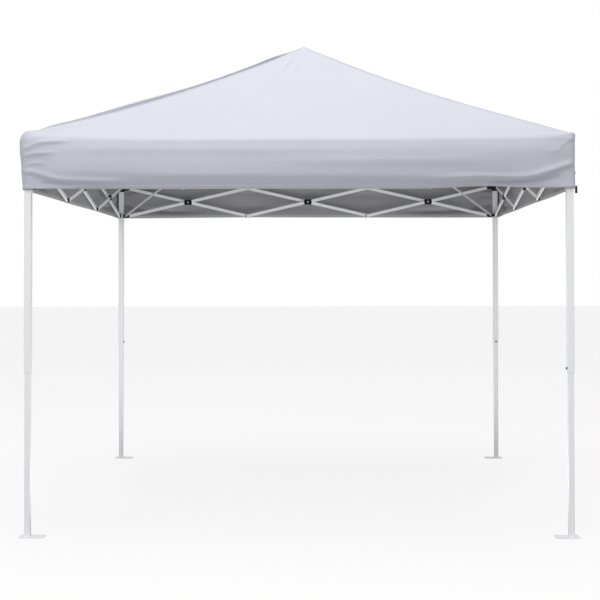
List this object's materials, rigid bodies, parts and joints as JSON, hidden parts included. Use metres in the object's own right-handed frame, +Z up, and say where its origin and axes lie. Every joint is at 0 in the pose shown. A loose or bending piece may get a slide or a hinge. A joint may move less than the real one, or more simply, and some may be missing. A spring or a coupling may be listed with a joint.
{
  "type": "pop up canopy",
  "caption": "Folding square shelter: scissor truss frame on telescoping legs with foot plates, under a pyramid fabric cover with a valance.",
  "frame": {"origin": "on the ground under the middle of the shelter", "axes": "+Z up, front towards -Y, +X to the right of someone facing the front"},
  "size_m": [3.032, 3.028, 2.955],
  "materials": {
    "painted": "satin white enamel on steel tube",
    "grey": "satin light grey enamel on steel tube",
    "black": "moulded black nylon",
    "light": "moulded light grey nylon",
    "cover": "coated polyester cloth, very light bluish grey",
    "webbing": "black webbing"
  },
  "bodies": {
    "shelter_frame": {"upper_leg_front_left": "painted", "top_bracket_front_left": "black", "canopy": "cover"},
    "leg_front_right": {"upper_leg_front_right": "painted", "top_bracket_front_right": "black", "strap_front_right": "webbing"},
    "leg_rear_right": {"upper_leg_rear_right": "painted", "top_bracket_rear_right": "black"},
    "leg_rear_left": {"upper_leg_rear_left": "painted", "top_bracket_rear_left": "black"},
    "front_falling_bar_1": {"front_falling_bar_1": "grey"},
    "front_climbing_bar_1": {"front_climbing_bar_1": "grey"},
    "front_falling_bar_2": {"front_falling_bar_2": "grey"},
    "front_climbing_bar_2": {"front_climbing_bar_2": "grey"},
    "front_falling_bar_3": {"front_falling_bar_3": "grey"},
    "front_climbing_bar_3": {"front_climbing_bar_3": "grey"},
    "right_falling_bar_1": {"right_falling_bar_1": "grey"},
    "right_climbing_bar_1": {"right_climbing_bar_1": "grey"},
    "right_falling_bar_2": {"right_falling_bar_2": "grey"},
    "right_climbing_bar_2": {"right_climbing_bar_2": "grey"},
    "right_falling_bar_3": {"right_falling_bar_3": "grey"},
    "right_climbing_bar_3": {"right_climbing_bar_3": "grey"},
    "left_climbing_bar_3": {"left_climbing_bar_3": "grey"},
    "left_falling_bar_3": {"left_falling_bar_3": "grey"},
    "left_climbing_bar_2": {"left_climbing_bar_2": "grey"},
    "left_falling_bar_2": {"left_falling_bar_2": "grey"},
    "left_climbing_bar_1": {"left_climbing_bar_1": "grey"},
    "left_falling_bar_1": {"left_falling_bar_1": "grey"},
    "rear_climbing_bar_3": {"rear_climbing_bar_3": "grey"},
    "rear_falling_bar_3": {"rear_falling_bar_3": "grey"},
    "rear_climbing_bar_2": {"rear_climbing_bar_2": "grey"},
    "rear_falling_bar_2": {"rear_falling_bar_2": "grey"},
    "rear_climbing_bar_1": {"rear_climbing_bar_1": "grey"},
    "rear_falling_bar_1": {"rear_falling_bar_1": "grey"},
    "slider_front_left": {"slider_front_left": "light"},
    "slider_front_right": {"slider_front_right": "light"},
    "slider_rear_right": {"slider_rear_right": "light"},
    "slider_rear_left": {"slider_rear_left": "light"},
    "outer_rafter_front_left": {"outer_rafter_front_left": "grey"},
    "inner_rafter_front_left": {"inner_rafter_front_left": "grey"},
    "strut_front_left": {"strut_front_left": "grey"},
    "outer_rafter_front_right": {"outer_rafter_front_right": "grey"},
    "inner_rafter_front_right": {"inner_rafter_front_right": "grey"},
    "strut_front_right": {"strut_front_right": "grey"},
    "outer_rafter_rear_right": {"outer_rafter_rear_right": "grey"},
    "inner_rafter_rear_right": {"inner_rafter_rear_right": "grey"},
    "strut_rear_right": {"strut_rear_right": "grey"},
    "outer_rafter_rear_left": {"outer_rafter_rear_left": "grey"},
    "inner_rafter_rear_left": {"inner_rafter_rear_left": "grey"},
    "strut_rear_left": {"strut_rear_left": "grey"},
    "hub": {"hub": "black"},
    "mast": {"mast": "grey"},
    "lower_leg_front_left": {"lower_leg_front_left": "painted"},
    "pull_pin_front_left": {"pull_pin_front_left": "black"},
    "lower_leg_front_right": {"lower_leg_front_right": "painted"},
    "pull_pin_front_right": {"pull_pin_front_right": "black"},
    "lower_leg_rear_right": {"lower_leg_rear_right": "painted"},
    "pull_pin_rear_right": {"pull_pin_rear_right": "black"},
    "lower_leg_rear_left": {"lower_leg_rear_left": "painted"},
    "pull_pin_rear_left": {"pull_pin_rear_left": "black"}
  },
  "joints": [
    {"name": "fold", "type": "hinge", "parent": "shelter_frame", "child": "front_falling_bar_1", "pos_m": [-1.419, -1.474, 2.121], "axis": [0, 1, 0], "range_deg": [0, 72.5], "deforming": ["canopy"]},
    {"name": "front_climbing_bar_1_pivot", "type": "hinge", "parent": "front_falling_bar_1", "child": "front_climbing_bar_1", "pos_m": [-0.946, -1.474, 2.012], "axis": [0, -1, 0], "range_deg": [0, 145]},
    {"name": "front_falling_bar_2_pivot", "type": "hinge", "parent": "front_climbing_bar_1", "child": "front_falling_bar_2", "pos_m": [-0.473, -1.474, 2.121], "axis": [0, 1, 0], "range_deg": [0, 145]},
    {"name": "front_climbing_bar_2_pivot", "type": "hinge", "parent": "front_falling_bar_2", "child": "front_climbing_bar_2", "pos_m": [0, -1.474, 2.012], "axis": [0, -1, 0], "range_deg": [0, 145]},
    {"name": "front_falling_bar_3_pivot", "type": "hinge", "parent": "front_climbing_bar_2", "child": "front_falling_bar_3", "pos_m": [0.473, -1.474, 2.121], "axis": [0, 1, 0], "range_deg": [0, 145]},
    {"name": "front_climbing_bar_3_pivot", "type": "hinge", "parent": "front_falling_bar_3", "child": "front_climbing_bar_3", "pos_m": [0.946, -1.474, 2.012], "axis": [0, -1, 0], "range_deg": [0, 145]},
    {"name": "leg_front_right_pivot", "type": "hinge", "parent": "front_climbing_bar_3", "child": "leg_front_right", "pos_m": [1.419, -1.474, 2.121], "axis": [0, 1, 0], "range_deg": [0, 72.5]},
    {"name": "right_falling_bar_1_pivot", "type": "hinge", "parent": "leg_front_right", "child": "right_falling_bar_1", "pos_m": [1.474, -1.419, 2.121], "axis": [-1, 0, 0], "range_deg": [0, 72.5]},
    {"name": "right_climbing_bar_1_pivot", "type": "hinge", "parent": "right_falling_bar_1", "child": "right_climbing_bar_1", "pos_m": [1.474, -0.946, 2.012], "axis": [1, 0, 0], "range_deg": [0, 145]},
    {"name": "right_falling_bar_2_pivot", "type": "hinge", "parent": "right_climbing_bar_1", "child": "right_falling_bar_2", "pos_m": [1.474, -0.473, 2.121], "axis": [-1, 0, 0], "range_deg": [0, 145]},
    {"name": "right_climbing_bar_2_pivot", "type": "hinge", "parent": "right_falling_bar_2", "child": "right_climbing_bar_2", "pos_m": [1.474, 0, 2.012], "axis": [1, 0, 0], "range_deg": [0, 145]},
    {"name": "right_falling_bar_3_pivot", "type": "hinge", "parent": "right_climbing_bar_2", "child": "right_falling_bar_3", "pos_m": [1.474, 0.473, 2.121], "axis": [-1, 0, 0], "range_deg": [0, 145]},
    {"name": "right_climbing_bar_3_pivot", "type": "hinge", "parent": "right_falling_bar_3", "child": "right_climbing_bar_3", "pos_m": [1.474, 0.946, 2.012], "axis": [1, 0, 0], "range_deg": [0, 145]},
    {"name": "leg_rear_right_pivot", "type": "hinge", "parent": "right_climbing_bar_3", "child": "leg_rear_right", "pos_m": [1.474, 1.419, 2.121], "axis": [-1, 0, 0], "range_deg": [0, 72.5]},
    {"name": "left_climbing_bar_3_pivot", "type": "hinge", "parent": "shelter_frame", "child": "left_climbing_bar_3", "pos_m": [-1.474, -1.419, 2.121], "axis": [-1, 0, 0], "range_deg": [0, 72.5]},
    {"name": "left_falling_bar_3_pivot", "type": "hinge", "parent": "left_climbing_bar_3", "child": "left_falling_bar_3", "pos_m": [-1.474, -0.946, 2.012], "axis": [1, 0, 0], "range_deg": [0, 145]},
    {"name": "left_climbing_bar_2_pivot", "type": "hinge", "parent": "left_falling_bar_3", "child": "left_climbing_bar_2", "pos_m": [-1.474, -0.473, 2.121], "axis": [-1, 0, 0], "range_deg": [0, 145]},
    {"name": "left_falling_bar_2_pivot", "type": "hinge", "parent": "left_climbing_bar_2", "child": "left_falling_bar_2", "pos_m": [-1.474, 0, 2.012], "axis": [1, 0, 0], "range_deg": [0, 145]},
    {"name": "left_climbing_bar_1_pivot", "type": "hinge", "parent": "left_falling_bar_2", "child": "left_climbing_bar_1", "pos_m": [-1.474, 0.473, 2.121], "axis": [-1, 0, 0], "range_deg": [0, 145]},
    {"name": "left_falling_bar_1_pivot", "type": "hinge", "parent": "left_climbing_bar_1", "child": "left_falling_bar_1", "pos_m": [-1.474, 0.946, 2.012], "axis": [1, 0, 0], "range_deg": [0, 145]},
    {"name": "leg_rear_left_pivot", "type": "hinge", "parent": "left_falling_bar_1", "child": "leg_rear_left", "pos_m": [-1.474, 1.419, 2.121], "axis": [-1, 0, 0], "range_deg": [0, 72.5]},
    {"name": "rear_climbing_bar_3_pivot", "type": "hinge", "parent": "leg_rear_left", "child": "rear_climbing_bar_3", "pos_m": [-1.419, 1.474, 2.121], "axis": [0, 1, 0], "range_deg": [0, 72.5]},
    {"name": "rear_falling_bar_3_pivot", "type": "hinge", "parent": "rear_climbing_bar_3", "child": "rear_falling_bar_3", "pos_m": [-0.946, 1.474, 2.012], "axis": [0, -1, 0], "range_deg": [0, 145]},
    {"name": "rear_climbing_bar_2_pivot", "type": "hinge", "parent": "rear_falling_bar_3", "child": "rear_climbing_bar_2", "pos_m": [-0.473, 1.474, 2.121], "axis": [0, 1, 0], "range_deg": [0, 145]},
    {"name": "rear_falling_bar_2_pivot", "type": "hinge", "parent": "rear_climbing_bar_2", "child": "rear_falling_bar_2", "pos_m": [0, 1.474, 2.012], "axis": [0, -1, 0], "range_deg": [0, 145]},
    {"name": "rear_climbing_bar_1_pivot", "type": "hinge", "parent": "rear_falling_bar_2", "child": "rear_climbing_bar_1", "pos_m": [0.473, 1.474, 2.121], "axis": [0, 1, 0], "range_deg": [0, 145]},
    {"name": "rear_falling_bar_1_pivot", "type": "hinge", "parent": "rear_climbing_bar_1", "child": "rear_falling_bar_1", "pos_m": [0.946, 1.474, 2.012], "axis": [0, -1, 0], "range_deg": [0, 145]},
    {"name": "slider_front_left_pivot", "type": "hinge", "parent": "front_climbing_bar_1", "child": "slider_front_left", "pos_m": [-1.419, -1.474, 1.903], "axis": [0, 1, 0], "range_deg": [0, 72.5]},
    {"name": "slider_front_right_pivot", "type": "hinge", "parent": "right_climbing_bar_1", "child": "slider_front_right", "pos_m": [1.474, -1.419, 1.903], "axis": [-1, 0, 0], "range_deg": [0, 72.5]},
    {"name": "slider_rear_right_pivot", "type": "hinge", "parent": "right_falling_bar_3", "child": "slider_rear_right", "pos_m": [1.474, 1.419, 1.903], "axis": [1, 0, 0], "range_deg": [0, 72.5]},
    {"name": "slider_rear_left_pivot", "type": "hinge", "parent": "left_climbing_bar_1", "child": "slider_rear_left", "pos_m": [-1.474, 1.419, 1.903], "axis": [1, 0, 0], "range_deg": [0, 72.5]},
    {"name": "outer_rafter_front_left_pivot", "type": "hinge", "parent": "shelter_frame", "child": "outer_rafter_front_left", "pos_m": [-1.44041, -1.44041, 2.151], "axis": [-0.7071, 0.7071, 0], "range_deg": [0, 72.5]},
    {"name": "inner_rafter_front_left_knee", "type": "hinge", "parent": "outer_rafter_front_left", "child": "inner_rafter_front_left", "pos_m": [-0.91907, -0.91907, 2.0842], "axis": [0.7071, -0.7071, 0], "range_deg": [0, 145]},
    {"name": "strut_front_left_pivot", "type": "hinge", "parent": "slider_front_left", "child": "strut_front_left", "pos_m": [-1.44041, -1.44041, 1.903], "axis": [0.7071, -0.7071, 0], "range_deg": [0, 55.95]},
    {"name": "outer_rafter_front_right_pivot", "type": "hinge", "parent": "leg_front_right", "child": "outer_rafter_front_right", "pos_m": [1.44041, -1.44041, 2.151], "axis": [-0.7071, -0.7071, 0], "range_deg": [0, 72.5]},
    {"name": "inner_rafter_front_right_knee", "type": "hinge", "parent": "outer_rafter_front_right", "child": "inner_rafter_front_right", "pos_m": [0.91907, -0.91907, 2.0842], "axis": [0.7071, 0.7071, 0], "range_deg": [0, 145]},
    {"name": "strut_front_right_pivot", "type": "hinge", "parent": "slider_front_right", "child": "strut_front_right", "pos_m": [1.44041, -1.44041, 1.903], "axis": [0.7071, 0.7071, 0], "range_deg": [0, 55.95]},
    {"name": "outer_rafter_rear_right_pivot", "type": "hinge", "parent": "leg_rear_right", "child": "outer_rafter_rear_right", "pos_m": [1.44041, 1.44041, 2.151], "axis": [0.7071, -0.7071, 0], "range_deg": [0, 72.5]},
    {"name": "inner_rafter_rear_right_knee", "type": "hinge", "parent": "outer_rafter_rear_right", "child": "inner_rafter_rear_right", "pos_m": [0.91907, 0.91907, 2.0842], "axis": [-0.7071, 0.7071, 0], "range_deg": [0, 145]},
    {"name": "strut_rear_right_pivot", "type": "hinge", "parent": "slider_rear_right", "child": "strut_rear_right", "pos_m": [1.44041, 1.44041, 1.903], "axis": [-0.7071, 0.7071, 0], "range_deg": [0, 55.95]},
    {"name": "outer_rafter_rear_left_pivot", "type": "hinge", "parent": "leg_rear_left", "child": "outer_rafter_rear_left", "pos_m": [-1.44041, 1.44041, 2.151], "axis": [0.7071, 0.7071, 0], "range_deg": [0, 72.5]},
    {"name": "inner_rafter_rear_left_knee", "type": "hinge", "parent": "outer_rafter_rear_left", "child": "inner_rafter_rear_left", "pos_m": [-0.91907, 0.91907, 2.0842], "axis": [-0.7071, -0.7071, 0], "range_deg": [0, 145]},
    {"name": "strut_rear_left_pivot", "type": "hinge", "parent": "slider_rear_left", "child": "strut_rear_left", "pos_m": [-1.44041, 1.44041, 1.903], "axis": [-0.7071, -0.7071, 0], "range_deg": [0, 55.95]},
    {"name": "hub_pivot", "type": "hinge", "parent": "inner_rafter_front_left", "child": "hub", "pos_m": [-0.02141, -0.02141, 2.47985], "axis": [-0.7071, 0.7071, 0], "range_deg": [0, 72.5]},
    {"name": "mast_slide", "type": "slide", "parent": "hub", "child": "mast", "axis": [0, 0, -1], "range_m": [0, 0.38]},
    {"name": "lower_leg_front_left_slide", "type": "slide", "parent": "shelter_frame", "child": "lower_leg_front_left", "axis": [0, 0, 1], "range_m": [0, 0.8]},
    {"name": "pull_pin_front_left_pull", "type": "slide", "parent": "shelter_frame", "child": "pull_pin_front_left", "axis": [0, 1, 0], "range_m": [0, 0.006], "stiffness_N_per_m": 400},
    {"name": "lower_leg_front_right_slide", "type": "slide", "parent": "leg_front_right", "child": "lower_leg_front_right", "axis": [0, 0, 1], "range_m": [0, 0.8]},
    {"name": "pull_pin_front_right_pull", "type": "slide", "parent": "leg_front_right", "child": "pull_pin_front_right", "axis": [-1, 0, 0], "range_m": [0, 0.006], "stiffness_N_per_m": 400},
    {"name": "lower_leg_rear_right_slide", "type": "slide", "parent": "leg_rear_right", "child": "lower_leg_rear_right", "axis": [0, 0, 1], "range_m": [0, 0.8]},
    {"name": "pull_pin_rear_right_pull", "type": "slide", "parent": "leg_rear_right", "child": "pull_pin_rear_right", "axis": [0, -1, 0], "range_m": [0, 0.006], "stiffness_N_per_m": 400},
    {"name": "lower_leg_rear_left_slide", "type": "slide", "parent": "leg_rear_left", "child": "lower_leg_rear_left", "axis": [0, 0, 1], "range_m": [0, 0.8]},
    {"name": "pull_pin_rear_left_pull", "type": "slide", "parent": "leg_rear_left", "child": "pull_pin_rear_left", "axis": [1, 0, 0], "range_m": [0, 0.006], "stiffness_N_per_m": 400}
  ],
  "couplings": [
    {"joint": "front_climbing_bar_1_pivot", "follows": "fold", "ratio": 2},
    {"joint": "front_falling_bar_2_pivot", "follows": "fold", "ratio": 2},
    {"joint": "front_climbing_bar_2_pivot", "follows": "fold", "ratio": 2},
    {"joint": "front_falling_bar_3_pivot", "follows": "fold", "ratio": 2},
    {"joint": "front_climbing_bar_3_pivot", "follows": "fold", "ratio": 2},
    {"joint": "leg_front_right_pivot", "follows": "fold", "ratio": 1},
    {"joint": "right_falling_bar_1_pivot", "follows": "fold", "ratio": 1},
    {"joint": "right_climbing_bar_1_pivot", "follows": "fold", "ratio": 2},
    {"joint": "right_falling_bar_2_pivot", "follows": "fold", "ratio": 2},
    {"joint": "right_climbing_bar_2_pivot", "follows": "fold", "ratio": 2},
    {"joint": "right_falling_bar_3_pivot", "follows": "fold", "ratio": 2},
    {"joint": "right_climbing_bar_3_pivot", "follows": "fold", "ratio": 2},
    {"joint": "leg_rear_right_pivot", "follows": "fold", "ratio": 1},
    {"joint": "left_climbing_bar_3_pivot", "follows": "fold", "ratio": 1},
    {"joint": "left_falling_bar_3_pivot", "follows": "fold", "ratio": 2},
    {"joint": "left_climbing_bar_2_pivot", "follows": "fold", "ratio": 2},
    {"joint": "left_falling_bar_2_pivot", "follows": "fold", "ratio": 2},
    {"joint": "left_climbing_bar_1_pivot", "follows": "fold", "ratio": 2},
    {"joint": "left_falling_bar_1_pivot", "follows": "fold", "ratio": 2},
    {"joint": "leg_rear_left_pivot", "follows": "fold", "ratio": 1},
    {"joint": "rear_climbing_bar_3_pivot", "follows": "fold", "ratio": 1},
    {"joint": "rear_falling_bar_3_pivot", "follows": "fold", "ratio": 2},
    {"joint": "rear_climbing_bar_2_pivot", "follows": "fold", "ratio": 2},
    {"joint": "rear_falling_bar_2_pivot", "follows": "fold", "ratio": 2},
    {"joint": "rear_climbing_bar_1_pivot", "follows": "fold", "ratio": 2},
    {"joint": "rear_falling_bar_1_pivot", "follows": "fold", "ratio": 2},
    {"joint": "slider_front_left_pivot", "follows": "fold", "ratio": 1},
    {"joint": "slider_front_right_pivot", "follows": "fold", "ratio": 1},
    {"joint": "slider_rear_right_pivot", "follows": "fold", "ratio": 1},
    {"joint": "slider_rear_left_pivot", "follows": "fold", "ratio": 1},
    {"joint": "outer_rafter_front_left_pivot", "follows": "fold", "ratio": 1},
    {"joint": "inner_rafter_front_left_knee", "follows": "fold", "ratio": 2},
    {"joint": "strut_front_left_pivot", "follows": "fold", "ratio": 0.77167},
    {"joint": "outer_rafter_front_right_pivot", "follows": "fold", "ratio": 1},
    {"joint": "inner_rafter_front_right_knee", "follows": "fold", "ratio": 2},
    {"joint": "strut_front_right_pivot", "follows": "fold", "ratio": 0.77167},
    {"joint": "outer_rafter_rear_right_pivot", "follows": "fold", "ratio": 1},
    {"joint": "inner_rafter_rear_right_knee", "follows": "fold", "ratio": 2},
    {"joint": "strut_rear_right_pivot", "follows": "fold", "ratio": 0.77167},
    {"joint": "outer_rafter_rear_left_pivot", "follows": "fold", "ratio": 1},
    {"joint": "inner_rafter_rear_left_knee", "follows": "fold", "ratio": 2},
    {"joint": "strut_rear_left_pivot", "follows": "fold", "ratio": 0.77167},
    {"joint": "hub_pivot", "follows": "fold", "ratio": 1},
    {"joint": "mast_slide", "follows": "fold", "m_per_rad": 0.30031}
  ]
}
